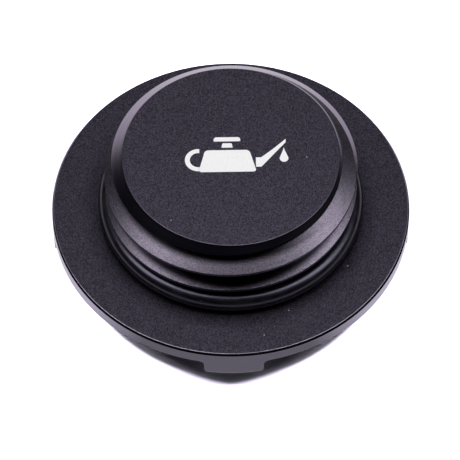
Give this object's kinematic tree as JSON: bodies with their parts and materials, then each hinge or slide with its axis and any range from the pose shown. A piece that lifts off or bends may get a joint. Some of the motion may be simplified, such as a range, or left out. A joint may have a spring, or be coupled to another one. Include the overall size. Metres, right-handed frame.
{
  "type": "oil filler cap",
  "caption": "Round screw-in oil filler cap of black anodised aluminium, with a flat flange, a lobed grip on its outer side, a coarse male thread and a rubber sealing ring.",
  "frame": {"origin": "on the thread's axis, at the outer face of the grip that the cap lies on", "axes": "+Z along the thread's axis, from the grip towards the threaded end; one grip lobe points along -Y"},
  "size_m": [0.06, 0.06, 0.0197],
  "materials": {
    "black_anodised": "bead blasted and anodised black, satin",
    "seal_rubber": "smooth moulded, slightly oily sheen",
    "laser_mark": "laser bleached, matt white"
  },
  "bodies": {
    "root": {"cap_body": "black_anodised", "o_ring": "seal_rubber"}
  },
  "joints": []
}
